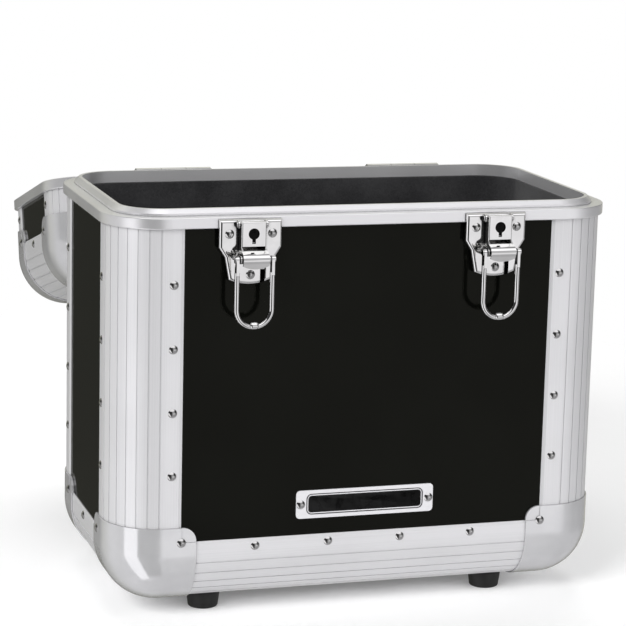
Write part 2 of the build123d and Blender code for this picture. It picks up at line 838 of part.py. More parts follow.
def handle_bail():
    """Bent rod hanging from its two ends, drawn from the pivot's axis."""
    end = lug_across + lug_width
    arm, low = handle_arm, -handle_reach
    path = FilletPolyline(
        (-end, 0), (-arm, 0), (-arm, low), (arm, low), (arm, 0), (end, 0), radius=handle_bend
    )
    start = Plane(origin=(-end, 0, 0), z_dir=(1, 0, 0))
    return sweep(start * Circle(handle_rod), path=front_plane(0) * path)


def handle_grip():
    """Moulded grip over the bail's cross rod."""
    half, w, h = grip_length / 2, grip_width / 2, grip_height / 2
    grip = block(-half, half, -w, w, -handle_reach - h, -handle_reach + h)
    grip = fillet(grip.edges().filter_by(Axis.X), grip_round)
    ends = grip.edges().filter_by(Axis.X, reverse=True)
    grip = fillet(ends, grip_round / 4)
    return grip - cross_bar(handle_rod + hole_play, -grip_length, grip_length, 0, -handle_reach)


# ---------------------------------------------------------------- the lid's place

def rest_tilt():
    """Angle past level at which the open lid's ball corners meet the body's rear wall."""
    out = hinge_offset + edge_radius
    down = lid_axis - edge_radius
    room = edge_radius + fit + cap_skin + stop_gap - hinge_offset
    return degrees(acos(room / hypot(out, down)) - atan2(down, out))


def lid_place():
    """The lid is drawn upside down with its hinged wall at -Y, then laid open."""
    hinge = Pos(0, half_depth + hinge_offset, body_axis)
    return hinge * Rot(-rest_tilt(), 0, 0) * Pos(0, half_depth + hinge_offset, -lid_axis)


# ---------------------------------------------------------------- assembly

def body_nodes():
    low = leg + body_rivet_low
    pitch = (body_height - body_rivet_top - low) / (body_rivet_rows - 1)
    heights = [low + i * pitch for i in range(body_rivet_rows)]
    rivets = wall_rivets(heights, body_panel) + edge_rivets(body_panel) + cap_rivets(body_panel)
    rivets += plate_rivet_spots() + hinge_rivet_spots(1, body_axis, body_panel)
    for side in (-1, 1):
        rivets += latch_rivet_spots(side * latch_across)
    screws = foot_screw_spots()
    screw_hole = screw_radius + hole_play

    shell = panels(body_panel, body_height + band_height - body_web - fit)
    nodes = {f"{name}_panel": piece for name, piece in shell.items()}
    nodes["base_panel"] = drill(nodes.pop("bottom_panel"), screws, screw_hole)
    for name, piece in corner_extrusions(body_height, body_panel).items():
        nodes[f"corner_extrusion_{name}"] = piece
    for name, piece in bottom_extrusions(body_panel).items():
        nodes[f"base_extrusion_{name}"] = drill(piece, screws, screw_hole)
    for name, piece in at_corners(ball_corner).items():
        nodes[f"ball_corner_{name}"] = piece
    for side, name in ((-1, "left"), (1, "right")):
        place = Pos(side * latch_across, -half_depth, body_height)
        nodes[f"latch_plate_{name}"] = place * latch_plate()
    hinge = Pos(0, half_depth, body_axis)
    leaves = [hinge * Pos(side * hinge_across, 0, 0) * hinge_leaf_piece(True, hole_play)
              for side in (-1, 1)]
    nodes = {name: [drill(piece, rivets)] for name, piece in nodes.items()}
    nodes["hinge_body_leaves"] = [drill(leaf, rivets) for leaf in leaves]

    lining_top = body_height + band_height - rim_lip_drop - fit
    nodes["body_rim"] = [body_rim()]
    nodes["body_lining"] = [lining_tub(body_panel, lining_top)]
    nodes["floor_pad"] = [pad(body_panel, floor_pad_top)]
    nodes["name_plate"] = [name_plate()]
    nodes["rubber_feet"] = [rubber_foot(seat[0], seat[1]) for seat, _, _ in screws]
    nodes["foot_screws"] = [foot_screw(*screw) for screw in screws]
    nodes["body_rivets"] = [rivet(*spot) for spot in rivets]
    nodes["hinge_pins"] = [hinge_pin_piece(side) for side in (-1, 1)]
    nodes["latch_pins"] = [
        Pos(side * latch_across, -half_depth, body_height) * latch_pin() for side in (-1, 1)
    ]
    return nodes


def lid_nodes():
    """The lid in its own frame: upside down, its hinged rear wall at -Y."""
    rivets = wall_rivets([lid_height - lid_rivet_top], lid_panel)
    rivets += edge_rivets(lid_panel) + cap_rivets(lid_panel) + catch_rivet_spots()
    rivets += hinge_rivet_spots(-1, lid_axis, lid_panel) + bracket_rivet_spots()

    groove_low = band_height - tongue_height - groove_top_gap
    panel_top = lid_height + groove_low - lid_web - fit
    shell = panels(lid_panel, panel_top)
    turned = {"front": "rear", "rear": "front", "left": "left", "right": "right", "bottom": "top"}
    nodes = {f"lid_{turned[name]}_panel": [piece] for name, piece in shell.items()}
    for name, piece in bottom_extrusions(lid_panel).items():
        nodes[f"lid_edge_extrusion_{turned[name]}"] = [piece]
    for name, piece in at_corners(ball_corner).items():
        depth, side = name.split("_")
        nodes[f"lid_ball_corner_{turned[depth]}_{side}"] = [piece]
    nodes["lid_corner_extrusions"] = list(corner_extrusions(lid_height, lid_panel).values())
    for side, name in ((-1, "left"), (1, "right")):
        nodes[f"latch_catch_{name}"] = [catch_place(side * latch_across) * latch_catch()]
    hinge = Pos(0, -half_depth, lid_axis) * Rot(0, 0, 180)
    nodes["hinge_lid_leaves"] = [
        hinge * Pos(side * hinge_across, 0, 0) * hinge_leaf_piece(False, running_gap)
        for side in (-1, 1)
    ]
    nodes = {name: [drill(piece, rivets) for piece in pieces] for name, pieces in nodes.items()}
    nodes["lid_rim"] = [lid_rim()]
    nodes["lid_lining"] = [lining_tub(lid_panel, panel_top)]
    nodes["lid_pad"] = [pad(lid_panel, lid_pad_top)]
    nodes["handle_brackets"] = [handle_bracket(side) for side in (-1, 1)]
    nodes["lid_rivets"] = [rivet(*spot) for spot in rivets]
    place = lid_place()
    return {name: [place * piece for piece in pieces] for name, pieces in nodes.items()}


def moving_nodes():
    nodes = {}
    for side, name in ((-1, "left"), (1, "right")):
        place = Pos(side * latch_across, -half_depth, body_height)
        nodes[f"latch_lever_{name}"] = [place * latch_lever()]
        nodes[f"lock_core_{name}"] = [place * lock_core()]
        nodes[f"latch_loop_{name}"] = [place * latch_loop()]
    pivot = Pos(*(lid_place() * Pos(0, 0, -handle_pivot)).position)
    nodes["handle_bail"] = [pivot * handle_bail()]
    nodes["handle_grip"] = [pivot * handle_grip()]
    return nodes


def main():
    os.makedirs("parts", exist_ok=True)
    for nodes in (body_nodes(), lid_nodes(), moving_nodes()):
        for name, pieces in nodes.items():
            solids = [solid for piece in pieces for solid in piece.solids()]
            export_step(Compound(solids), f"parts/{name}.step")


main()
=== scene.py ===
import json
import math

import bmesh
import bpy
from mathutils import Matrix, Vector, noise


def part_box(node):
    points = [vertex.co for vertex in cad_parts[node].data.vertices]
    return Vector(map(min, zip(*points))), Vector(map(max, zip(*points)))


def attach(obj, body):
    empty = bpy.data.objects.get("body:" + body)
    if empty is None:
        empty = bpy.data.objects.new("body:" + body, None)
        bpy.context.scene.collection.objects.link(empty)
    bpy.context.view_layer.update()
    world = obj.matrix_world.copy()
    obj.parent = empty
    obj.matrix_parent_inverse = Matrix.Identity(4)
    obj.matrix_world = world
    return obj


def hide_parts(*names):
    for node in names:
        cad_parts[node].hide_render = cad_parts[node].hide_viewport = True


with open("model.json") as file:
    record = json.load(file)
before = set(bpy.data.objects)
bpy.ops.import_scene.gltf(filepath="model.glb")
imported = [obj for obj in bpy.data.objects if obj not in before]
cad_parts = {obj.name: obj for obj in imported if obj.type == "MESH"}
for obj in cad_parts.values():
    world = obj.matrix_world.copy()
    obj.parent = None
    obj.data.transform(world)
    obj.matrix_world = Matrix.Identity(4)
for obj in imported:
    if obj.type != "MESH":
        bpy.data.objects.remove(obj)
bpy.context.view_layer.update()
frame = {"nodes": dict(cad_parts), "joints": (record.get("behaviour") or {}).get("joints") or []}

# A record carrying case in black laminate and rounded aluminium edging, its lid laid open
# behind it. The CAD nodes carry the hard parts. The pieces made here are the cloth linings,
# the foam pads, and the enamel and frame line in the name plate.

MM = 0.001


# ------------------------------------------------------------------ sizes of the case

def joint_facts(name):
    """Place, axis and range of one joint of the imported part."""
    return next(joint for joint in frame["joints"] if joint["name"] == name)


upright_low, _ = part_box("corner_extrusion_front_left")
half_width, half_depth = -upright_low.x, -upright_low.y
edge_radius = upright_low.z  # the uprights start where the round bottom edge ends
body_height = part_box("body_rim")[0].z
lid_height = 80 * MM
floor_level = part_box("rubber_feet")[0].z

lid_hinge = joint_facts("lid_hinge")
hinge = Vector(lid_hinge["pos_m"])
lid_tilt = lid_hinge["range_deg"][1] - 180  # how far past upside down the open lid leans


def lid_matrix():
    """From the lid's own upside-down frame to where it lies open."""
    own_hinge = Vector((0, -hinge.y, lid_height + hinge.z - body_height))
    swing = Matrix.Rotation(math.radians(-lid_tilt), 4, "X")
    return Matrix.Translation(hinge) @ swing @ Matrix.Translation(-own_hinge)


# ------------------------------------------------------------------ node helpers

class Tree:
    """A node tree and short ways to add to it."""

    def __init__(self, tree):
        self.nodes = tree.nodes
        self.links = tree.links

    def node(self, kind, **settings):
        made = self.nodes.new(kind)
        for key, value in settings.items():
            setattr(made, key, value)
        return made

    def put(self, socket, value):
        """Links another node's output to a socket, or sets a number or a colour on it."""
        if isinstance(value, bpy.types.NodeSocket):
            self.links.new(value, socket)
        else:
            socket.default_value = value

    def math(self, operation, *values):
        made = self.node("ShaderNodeMath", operation=operation)
        for socket, value in zip(made.inputs, values):
            self.put(socket, value)
        return made.outputs["Value"]

    def mix(self, first, second, share, **settings):
        """From the first to the second as the share goes from 0 to 1."""
        made = self.node("ShaderNodeMix", **settings)
        self.put(made.inputs["A"], first)
        self.put(made.inputs["B"], second)
        self.put(made.inputs["Factor"], share)
        return made.outputs["Result"]

    def spread(self, value, low, high, start=0.3, end=0.7):
        """From low to high, eased, as the value goes from start to end."""
        made = self.node("ShaderNodeMapRange", interpolation_type="SMOOTHSTEP")
        limits = {"From Min": start, "From Max": end, "To Min": low, "To Max": high}
        for socket, number in limits.items():
            made.inputs[socket].default_value = number
        self.links.new(value, made.inputs["Value"])
        return made.outputs["Result"]

    def split(self, vector):
        """The x, y and z of a vector."""
        made = self.node("ShaderNodeSeparateXYZ")
        self.links.new(vector, made.inputs["Vector"])
        return [made.outputs[axis] for axis in "XYZ"]

    def choose(self, share, first, second):
        """The first shader where the share is 0 and the second where it is 1."""
        made = self.node("ShaderNodeMixShader")
        self.put(made.inputs["Fac"], share)
        self.links.new(first, made.inputs[1])
        self.links.new(second, made.inputs[2])
        return made.outputs["Shader"]


class Paint(Tree):
    """A node material with one Principled shader and its procedural inputs."""

    def __init__(self, name, **sockets):
        self.material = bpy.data.materials.new(name)
        self.material.use_nodes = True
        super().__init__(self.material.node_tree)
        self.shader = self.nodes["Principled BSDF"]
        for socket, value in sockets.items():
            self.shader.inputs[socket.replace("_", " ")].default_value = value

    def place(self, scale=(1, 1, 1), turn=(0, 0, 0)):
        """The object's own coordinates, turned and then stretched."""
        coords = self.node("ShaderNodeTexCoord")
        turned = self.node("ShaderNodeMapping", vector_type="POINT")
        turned.inputs["Rotation"].default_value = [math.radians(a) for a in turn]
        self.links.new(coords.outputs["Object"], turned.inputs["Vector"])
        stretched = self.node("ShaderNodeMapping", vector_type="POINT")
        stretched.inputs["Scale"].default_value = scale
        self.links.new(turned.outputs["Vector"], stretched.inputs["Vector"])
        return stretched.outputs["Vector"]

    def noise(self, where, scale, detail=4.0, rough=0.5, distortion=0.0):
        made = self.node("ShaderNodeTexNoise")
        made.inputs["Scale"].default_value = scale
        made.inputs["Detail"].default_value = detail
        made.inputs["Roughness"].default_value = rough
        made.inputs["Distortion"].default_value = distortion
        self.links.new(where, made.inputs["Vector"])
        return made.outputs["Fac"]

    def cells(self, where, scale, feature="F1"):
        made = self.node("ShaderNodeTexVoronoi", feature=feature)
        made.inputs["Scale"].default_value = scale
        self.links.new(where, made.inputs["Vector"])
        return made.outputs["Distance"]

    def weigh(self, first, second, share):
        """The first value by its share and the second by the rest."""
        rest = self.math("MULTIPLY", second, 1 - share)
        return self.math("ADD", self.math("MULTIPLY", first, share), rest)

    def tint(self, value, dark, light):
        return self.mix((*dark, 1), (*light, 1), value, data_type="RGBA")

    def bump(self, height, strength, distance, below=None):
        made = self.node("ShaderNodeBump")
        made.inputs["Strength"].default_value = strength
        made.inputs["Distance"].default_value = distance
        self.links.new(height, made.inputs["Height"])
        if below is not None:
            self.links.new(below, made.inputs["Normal"])
        return made.outputs["Normal"]

    def shade_crevices(self, colour, reach=1.3 * MM, darkest=0.12, start=0.25, end=0.8):
        """The colour darkened in seams, crevices and next to walls, as far as the reach: painted
        shade.
        """
        occlusion = self.node("ShaderNodeAmbientOcclusion", samples=6)
        occlusion.inputs["Distance"].default_value = reach
        openness = self.spread(occlusion.outputs["AO"], 0, 1, start, end)
        shade = self.tint(openness, (darkest,) * 3, (1, 1, 1))
        return self.mix(colour, shade, 1, data_type="RGBA", blend_type="MULTIPLY")

    def feed(self, **sockets):
        """Links values to the shader's sockets and gives the finished material."""
        for socket, value in sockets.items():
            self.links.new(value, self.shader.inputs[socket.replace("_", " ")])
        return self.material


# ------------------------------------------------------------------ materials

def streaks(paint, along, turn):
    """Noise drawn out along one axis, as rolling and brushing leave it."""
    scale_across, scale_along = 1400, 5
    scale = [scale_across] * 3
    scale["XYZ".index(along)] = scale_along
    return paint.noise(paint.place(scale, turn), 1.0, detail=5, rough=0.6)


def aluminium(
    name, along, turn=(0, 0, 0), tone=0.76, rough=0.42, metallic=0.45, streak=0.94,
):
    """Satin anodised aluminium with drawn lines, soft smudges and small scuffs."""
    paint = Paint(name, Metallic=metallic)
    lines = streaks(paint, along, turn)
    cloud = paint.noise(paint.place(turn=turn), 14, detail=3)
    scuff = paint.noise(paint.place(turn=turn), 320, detail=6, rough=0.7)
    light = (tone, tone * 0.997, tone * 1.018)
    dark = tuple(c * streak for c in light)
    mixed = paint.weigh(lines, cloud, 0.55)
    colour = paint.tint(paint.spread(mixed, 0, 1, 0.35, 0.6), dark, light)
    satin = paint.spread(mixed, rough + 0.05, rough - 0.05, 0.3, 0.65)
    worn = paint.spread(scuff, 0, 0.10, 0.62, 0.78)
    normal = paint.bump(lines, 0.10, 0.06 * MM)
    normal = paint.bump(scuff, 0.05, 0.1 * MM, normal)
    return paint.feed(
        # Painted shade darkens the colour a little in the grooves and seams.
        Base_Color=paint.shade_crevices(colour, reach=1.0 * MM, darkest=0.80),
        Roughness=paint.math("ADD", satin, worn),
        Normal=normal,
    )


def rim_aluminium():
    """Smooth rolled aluminium of the two rim frames, running round their corners."""
    paint = Paint("aluminium_rim", Metallic=0.76)
    cloud = paint.noise(paint.place(), 16, detail=2)
    scuff = paint.noise(paint.place(), 260, detail=5, rough=0.7)
    colour = paint.tint(paint.spread(cloud, 0, 1), (0.89, 0.888, 0.90), (0.93, 0.928, 0.94))
    worn = paint.spread(scuff, 0, 0.06, 0.6, 0.8)
    return paint.feed(
        # Painted shade darkens the colour in the seams and where the rim meets the walls.
        Base_Color=paint.shade_crevices(colour),
        Roughness=paint.math("ADD", paint.spread(cloud, 0.31, 0.35), worn),
        Normal=paint.bump(scuff, 0.02, 0.1 * MM),
    )


def laminate():
    """Glossy black laminate with a faint orange peel and fine wiping marks."""
    paint = Paint("black_laminate", IOR=1.20, Specular_Tint=(1, 1, 0.86, 1))
    cloud = paint.noise(paint.place(), 9, detail=3)
    peel = paint.noise(paint.place(), 260, detail=2)
    wipes = paint.noise(paint.place((40, 40, 260), (0, 24, 12)), 1.0, detail=5, rough=0.6)
    grain = paint.noise(paint.place(), 1300, detail=2)
    dark, light = (0.0018, 0.0019, 0.0015), (0.0028, 0.0030, 0.0024)
    marks = paint.spread(wipes, 0, 0.04, 0.55, 0.75)
    normal = paint.bump(peel, 0.012, 0.2 * MM)
    normal = paint.bump(grain, 0.02, 0.05 * MM, normal)
    return paint.feed(
        Base_Color=paint.tint(paint.spread(cloud, 0, 1), dark, light),
        Roughness=paint.math("ADD", paint.spread(cloud, 0.05, 0.08), marks),
        Normal=normal,
    )


def chrome(name, tone=0.86, rough=0.055, peel=0.03, shade_reach=0.8 * MM):
    """Plated steel: bright, a little uneven, with haze where it is handled."""
    paint = Paint(name, Metallic=1.0)
    cloud = paint.noise(paint.place(), 90, detail=4)
    fine = paint.noise(paint.place(), 900, detail=5, rough=0.65)
    light = (tone, tone * 0.998, tone * 0.985)
    dark = tuple(c * 0.93 for c in light)
    colour = paint.tint(paint.spread(cloud, 0, 1), dark, light)
    plating = paint.spread(cloud, rough - 0.02, rough + 0.03)
    haze = paint.spread(fine, 0, 0.05, 0.55, 0.8)
    normal = paint.bump(cloud, peel, 0.5 * MM)
    normal = paint.bump(fine, 0.02, 0.05 * MM, normal)
    return paint.feed(
        # Painted shade turns the colour near black in seams and next to walls, as far as its
        # reach.
        Base_Color=paint.shade_crevices(colour, reach=shade_reach, darkest=0.06, start=0.42, end=0.92),
        Roughness=paint.math("ADD", plating, haze),
        Normal=normal,
    )


def blackened():
    """Oiled black lock cores; seen through the keyholes, their black is also painted shade for
    the depth inside.
    """
    paint = Paint("blackened_lock", IOR=1.2)
    cloud = paint.noise(paint.place(), 300, detail=4)
    dark, light = (0.0015, 0.0015, 0.0015), (0.004, 0.004, 0.004)
    return paint.feed(
        Base_Color=paint.tint(paint.spread(cloud, 0, 1), dark, light),
        Roughness=paint.spread(cloud, 0.35, 0.5),
    )


def corner_plate():
    """Pressed and plated corner steel: polished, with draw marks over the ball."""
    paint = Paint("corner_plate", Metallic=0.52)
    cloud = paint.noise(paint.place(), 32, detail=4)
    drawn = paint.noise(paint.place((160, 160, 30)), 1.0, detail=5, rough=0.6)
    fine = paint.noise(paint.place(), 700, detail=4)
    colour = paint.tint(paint.spread(cloud, 0, 1), (0.63, 0.63, 0.643), (0.69, 0.69, 0.703))
    haze = paint.spread(fine, 0, 0.04, 0.55, 0.8)
    normal = paint.bump(drawn, 0.06, 0.4 * MM)
    normal = paint.bump(fine, 0.03, 0.06 * MM, normal)
    return paint.feed(
        # Painted shade darkens the colour in the seams round the ball corners.
        Base_Color=paint.shade_crevices(colour),
        Roughness=paint.math("ADD", paint.spread(drawn, 0.09, 0.13), haze),
        Normal=normal,
    )


def rubber():
    """Matt black rubber of the feet, with a fine grain."""
    paint = Paint("black_rubber", Specular_IOR_Level=0.35)
    cloud = paint.noise(paint.place(), 120, detail=4)
    grain = paint.noise(paint.place(), 1500, detail=3)
    dark, light = (0.008, 0.008, 0.008), (0.018, 0.018, 0.017)
    return paint.feed(
        Base_Color=paint.tint(paint.spread(cloud, 0, 1), dark, light),
        Roughness=paint.spread(cloud, 0.42, 0.62),
        Normal=paint.bump(grain, 0.25, 0.1 * MM),
    )


def moulded_plastic():
    """Black plastic of the handle's grip, pebbled by its mould."""
    paint = Paint("moulded_plastic", Specular_IOR_Level=0.4)
    pebble = paint.cells(paint.place(), 900, "SMOOTH_F1")
    cloud = paint.noise(paint.place(), 60, detail=4)
    dark, light = (0.010, 0.010, 0.010), (0.020, 0.020, 0.020)
    return paint.feed(
        Base_Color=paint.tint(paint.spread(cloud, 0, 1), dark, light),
        Roughness=paint.spread(cloud, 0.34, 0.5),
        Normal=paint.bump(pebble, 0.3, 0.2 * MM),
    )


def felt():
    """Short-haired black cloth glued to board: matted fibres in every direction."""
    paint = Paint("lining_felt", Sheen_Weight=0.25, Sheen_Roughness=0.5, Specular_IOR_Level=0.2)
    mat = paint.noise(paint.place(), 420, detail=8, rough=0.75, distortion=1.5)
    hairs = paint.noise(paint.place((1, 1, 0.35)), 2200, detail=5, rough=0.7, distortion=2.5)
    cloud = paint.noise(paint.place(), 22, detail=4)
    mixed = paint.spread(paint.weigh(mat, cloud, 0.5), 0, 1, 0.35, 0.65)
    normal = paint.bump(mat, 0.5, 0.6 * MM)
    normal = paint.bump(hairs, 0.4, 0.2 * MM, normal)
    return paint.feed(
        Base_Color=paint.tint(mixed, (0.010, 0.010, 0.011), (0.038, 0.038, 0.040)),
        Roughness=paint.spread(mat, 0.82, 0.98),
        Normal=normal,
    )


def foam():
    """Cut open-cell foam, its skin full of fine pores."""
    paint = Paint("cut_foam", Specular_IOR_Level=0.2)
    pores = paint.cells(paint.place(), 700)
    cloud = paint.noise(paint.place(), 18, detail=4)
    dark, light = (0.006, 0.006, 0.006), (0.030, 0.030, 0.031)
    normal = paint.bump(pores, 0.6, 0.6 * MM)
    normal = paint.bump(cloud, 0.2, 2 * MM, normal)
    return paint.feed(
        Base_Color=paint.tint(paint.spread(pores, 0, 1, 0.1, 0.6), dark, light),
        Roughness=paint.spread(cloud, 0.88, 0.99),
        Normal=normal,
    )


def enamel():
    """Black enamel in the name plate's sunk field."""
    paint = Paint("plate_enamel", Specular_IOR_Level=0.12)
    cloud = paint.noise(paint.place(), 200, detail=4)
    dark, light = (0.004, 0.004, 0.004), (0.009, 0.009, 0.009)
    return paint.feed(
        Base_Color=paint.tint(paint.spread(cloud, 0, 1), dark, light),
        Roughness=paint.spread(cloud, 0.25, 0.4),
        Normal=paint.bump(cloud, 0.04, 0.2 * MM),
    )


lid_turn = (lid_tilt, 0, 0)
finishes = {
    "along_x": aluminium("aluminium_along_x", "X"),
    "along_y": aluminium("aluminium_along_y", "Y"),
    "along_z": aluminium("aluminium_along_z", "Z"),
    "lid_sides": aluminium("aluminium_lid_sides", "Y", lid_turn),
    "lid_uprights": aluminium("aluminium_lid_uprights", "Z", lid_turn),
    "rim": rim_aluminium(),
    "plate": aluminium(
        "aluminium_plate", "X", tone=0.90, rough=0.24, metallic=0.65, streak=0.97,
    ),
    "panel": laminate(),
    # The fittings' painted shade reaches 4 mm, darkening the plates next to the walls that rise
    # from them.
    "fitting": chrome("plated_fittings", shade_reach=4.0 * MM),
    "rivet": chrome("plated_rivets", tone=0.60, rough=0.05, shade_reach=0.3 * MM),
    "pin": chrome("plated_pins", tone=0.74, rough=0.18),
    "lock": blackened(),
    "corner": corner_plate(),
    "rubber": rubber(),
    "plastic": moulded_plastic(),
    "lining": felt(),
    "foam": foam(),
    "enamel": enamel(),
}


# ------------------------------------------------------------------ finishes of the CAD nodes

SINGLE_FINISHES = {
    "lid_corner_extrusions": "lid_uprights",
    "body_rim": "rim",
    "lid_rim": "rim",
    "name_plate": "plate",
    "rubber_feet": "rubber",
    "handle_grip": "plastic",
    "body_rivets": "rivet",
    "lid_rivets": "rivet",
    "foot_screws": "pin",
    "hinge_pins": "pin",
    "latch_pins": "pin",
    "body_lining": "lining",
    "lid_lining": "lining",
    "floor_pad": "foam",
    "lid_pad": "foam",
}


def finish_of(name):
    """The finish of a CAD node. Latches, hinges, bail and brackets have the plated fittings'."""
    if name in SINGLE_FINISHES:
        return SINGLE_FINISHES[name]
    if name.endswith("_panel"):
        return "panel"
    if name.startswith("corner_extrusion"):
        return "along_z"
    if name.startswith(("base_extrusion", "lid_edge_extrusion")):
        if name.endswith(("front", "rear")):
            return "along_x"
        return "lid_sides" if name.startswith("lid") else "along_y"
    if "ball_corner" in name:
        return "corner"
    if name.startswith("lock_core"):
        return "lock"
    return "fitting"


def dress_nodes():
    """Gives every CAD node its finish, on the object so that the mesh stays as it came."""
    for name, node in frame["nodes"].items():
        if not node.material_slots:
            node.data.materials.append(None)
        for slot in node.material_slots:
            slot.link = "OBJECT"
            slot.material = finishes[finish_of(name)]


# ------------------------------------------------------------------ mesh helpers

def new_piece(name, mesh, finish, body, replaced=()):
    """A smooth piece that rides on a body and stands in for the CAD nodes it replaces."""
    piece = bpy.data.objects.new(name, mesh)
    bpy.context.scene.collection.objects.link(piece)
    mesh.materials.append(finishes[finish])
    for face in mesh.polygons:
        face.use_smooth = True
    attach(piece, body)
    if replaced:
        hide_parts(*replaced)
    return piece


def rounded_loop(half_x, half_y, radius, z, arc=10, long_steps=24, short_steps=12):
    """Points round a rounded rectangle at one height, always the same number of them."""
    smallest_radius = 0.4 * MM
    radius = max(radius, smallest_radius)
    steps = (short_steps, long_steps, short_steps, long_steps)
    quarters = ((1, 1), (-1, 1), (-1, -1), (1, -1))

    def corner_point(corner, degrees):
        sx, sy = quarters[corner % 4]
        turn = math.radians(degrees)
        return Vector((
            sx * (half_x - radius) + radius * math.cos(turn),
            sy * (half_y - radius) + radius * math.sin(turn),
            z,
        ))

    points = []
    for corner in range(4):
        points += [corner_point(corner, 90 * corner + 90 * i / arc) for i in range(arc + 1)]
        start, end = points[-1], corner_point(corner + 1, 90 * (corner + 1))
        count = steps[(corner + 1) % 4]
        points += [start.lerp(end, i / count) for i in range(1, count)]
    return points


def loft(name, loops, close_ends=False):
    """Mesh through loops of equal length."""
    made = bmesh.new()
    rows = [[made.verts.new(p) for p in loop] for loop in loops]
    for low, high in zip(rows, rows[1:]):
        for i in range(len(low)):
            j = (i + 1) % len(low)
            made.faces.new((low[i], low[j], high[j], high[i]))
    if close_ends:
        made.faces.new(reversed(rows[0]))
        made.faces.new(rows[-1])
    bmesh.ops.recalc_face_normals(made, faces=made.faces)
    mesh = bpy.data.meshes.new(name)
    made.to_mesh(mesh)
    made.free()
    return mesh


# ------------------------------------------------------------------ linings and pads

CLOTH = 2.5 * MM  # its thickness, with the board behind it
CLOTH_GAP = 0.05 * MM  # between the cloth and the wall it is glued to
PAD_GAP = 0.2 * MM  # between a pad and the cloth
BODY_WALL, LID_WALL = 9.8 * MM, 6.7 * MM  # from their outer faces to their linings


def tub_loop(inset, z, corner_inset=None):
    """One loop round the case, moved in from its faces. The corners can follow another inset."""
    corner_inset = inset if corner_inset is None else corner_inset
    radius = edge_radius - corner_inset
    return rounded_loop(half_width - inset, half_depth - inset, radius, z)


def tub_profile(inset, top, wall_steps=6, edge_steps=8):
    """Insets and heights down the inside of a tub and round its bottom edge."""
    radius = edge_radius - inset
    drop = top - edge_radius
    profile = [(inset, top - drop * i / wall_steps) for i in range(wall_steps + 1)]
    for i in range(1, edge_steps + 1):
        turn = math.radians(90 * i / edge_steps)
        inward = inset + radius * (1 - math.cos(turn))
        profile.append((inward, edge_radius - radius * math.sin(turn)))
    return profile


def wall_at(inset, z):
    """How far in a tub's wall stands at one height, its round bottom edge included."""
    radius = edge_radius - inset
    level = min(1, max(0, (edge_radius - z) / radius))
    return inset + radius * (1 - math.sqrt(1 - level * level))


def ripple(mesh, below):
    """Draws the cloth in by an uneven amount where it is below one height."""
    depth, scale = 0.12 * MM, Vector((14, 14, 9))
    for vertex in mesh.vertices:
        p = vertex.co
        outward = Vector((p.x / half_width, p.y / half_depth, 0))
        if outward.length > 0 and p.z < below:
            uneven = noise.noise(p * scale) - 1
            vertex.co += outward.normalized() * (depth * uneven)


def lining_piece(name, body, node, wall, top, place):
    """Cloth-covered tub: a soft rolled lip, and walls that ripple slightly."""
    roll, roll_steps = CLOTH / 2 - CLOTH_GAP, 8
    outside = tub_profile(wall + CLOTH_GAP, top - roll)
    inside = tub_profile(wall + CLOTH, top - roll)
    loops = [tub_loop(inset, z) for inset, z in reversed(outside)]
    for i in range(1, roll_steps):
        turn = math.radians(180 * i / roll_steps)
        inset = wall + CLOTH / 2 - roll * math.cos(turn)
        loops.append(tub_loop(inset, top - roll + roll * math.sin(turn)))
    loops += [tub_loop(inset, z) for inset, z in inside]
    mesh = loft(name, loops, close_ends=True)
    still_lip = 4 * MM
    ripple(mesh, top - still_lip)
    mesh.transform(place)
    new_piece(name, mesh, "lining", body, (node,))


def sag(mesh, above):
    """Presses the pad's top in by an uneven amount where it is above one height."""
    depth, scale, slice_height = 0.45 * MM, 22, 3.1
    for vertex in mesh.vertices:
        p = vertex.co
        if p.z > above:
            uneven = noise.noise(Vector((p.x * scale, p.y * scale, slice_height)))
            vertex.co.z -= depth * (0.5 + 0.5 * uneven)


def pad_piece(name, body, node, wall, top, place):
    """Foam pad: flat underneath, crowned on top, its cut edges drawn in a little."""
    inset = bottom = wall + CLOTH + PAD_GAP

    # The underside, from its middle out to where the tub's bottom edge starts to rise.
    lift = 0.3 * MM
    flat = inset + 0.55 * (edge_radius - inset)
    loops = [tub_loop(flat + inward * MM, bottom + lift, flat) for inward in (50, 38, 26, 14, 2)]

    # The sides, which follow the tub's wall and stand a little off it.
    side_lift, edge_height, drawn_in = 0.4 * MM, 3.0 * MM, 0.5 * MM
    for share in (0, 0.25, 0.5, 0.75):
        z = bottom + side_lift + (top - bottom - edge_height) * share
        face = wall_at(inset, z)
        loops.append(tub_loop(face + drawn_in, z, face))

    # The round edge of the top.
    top_wall, edge_gap = wall_at(inset, top), 0.6 * MM
    side = top_wall + edge_gap
    edge_in, edge_up, edge_steps = 3.4 * MM, 2.6 * MM, 6
    crown = 0.6 * MM
    for i in range(1, edge_steps + 1):
        turn = math.radians(90 * i / edge_steps)
        inward = side + edge_in * (1 - math.cos(turn))
        z = top - crown - edge_up * (1 - math.sin(turn))
        loops.append(tub_loop(inward, z, top_wall))

    # The crown, which rises towards the middle.
    crown_step, crown_steps, smallest_corner = 6.2 * MM, 12, 1.0 * MM
    for i in range(1, crown_steps + 1):
        inward = side + edge_in + crown_step * i
        z = top - crown * (1 - i / crown_steps) ** 2
        loops.append(tub_loop(inward, z, min(inward, edge_radius - smallest_corner)))

    mesh = loft(name, loops, close_ends=True)
    top_skin = 1.5 * MM
    sag(mesh, top - top_skin)
    mesh.transform(place)
    piece = new_piece(name, mesh, "foam", body, (node,))


